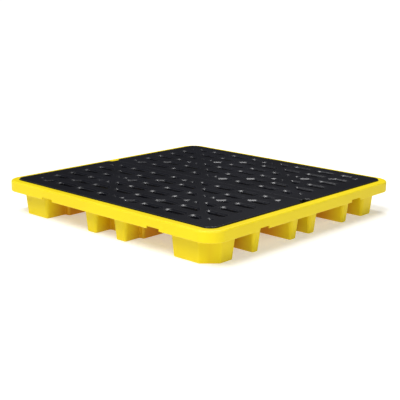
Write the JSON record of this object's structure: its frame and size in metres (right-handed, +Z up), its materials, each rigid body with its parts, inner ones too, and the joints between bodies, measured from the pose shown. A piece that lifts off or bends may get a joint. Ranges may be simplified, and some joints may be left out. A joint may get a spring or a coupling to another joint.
{
  "type": "spill containment pallet",
  "caption": "Low square pallet with a one-piece sump on hollow feet, fork channels both ways and slotted lift-out deck panels that drain into it.",
  "frame": {"origin": "centre of the footprint, on the floor", "axes": "+Z up, +X to the right and +Y to the back when the two-legged middle foot faces the viewer; the joint between the deck panels runs along X"},
  "size_m": [1.3, 1.3, 0.16],
  "materials": {
    "yellow_shell": "moulded yellow polyethylene, satin with a fine grain",
    "black_deck": "moulded black polyethylene, fine grain on top, slot lips a little glossier"
  },
  "bodies": {
    "base": {"base_sump": "yellow_shell"},
    "front_panel": {"front_deck_panel": "black_deck"},
    "rear_panel": {"rear_deck_panel": "black_deck"}
  },
  "joints": [
    {"name": "front_panel_lift", "type": "slide", "parent": "base", "child": "front_panel", "axis": [0, 0, 1], "range_m": [0, 0.25]},
    {"name": "rear_panel_lift", "type": "slide", "parent": "base", "child": "rear_panel", "axis": [0, 0, 1], "range_m": [0, 0.25]}
  ]
}
